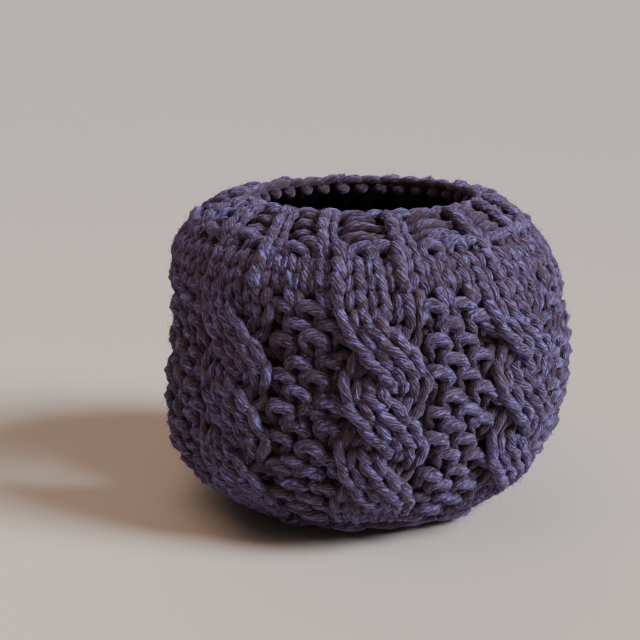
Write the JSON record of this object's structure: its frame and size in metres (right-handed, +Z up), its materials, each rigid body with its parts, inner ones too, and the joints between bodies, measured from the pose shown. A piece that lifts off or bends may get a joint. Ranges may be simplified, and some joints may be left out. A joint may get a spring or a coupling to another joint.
{
  "type": "knitted tea cosy",
  "caption": "Chunky cable-knit tea cosy in charcoal wool, standing open in the round shape of its pot, with slits for spout and handle.",
  "frame": {"origin": "on the table that the hem rests on, below the middle of the cosy's box", "axes": "+Z up, front side towards -Y, spout slit towards -X, handle slit towards +X"},
  "size_m": [0.1676, 0.1742, 0.126],
  "materials": {
    "charcoal_wool": "heathered charcoal wool yarn with violet-blue lights, loosely plied, matt and slightly fuzzy"
  },
  "bodies": {
    "root": {"front_side": "charcoal_wool", "back_side": "charcoal_wool"}
  },
  "joints": []
}
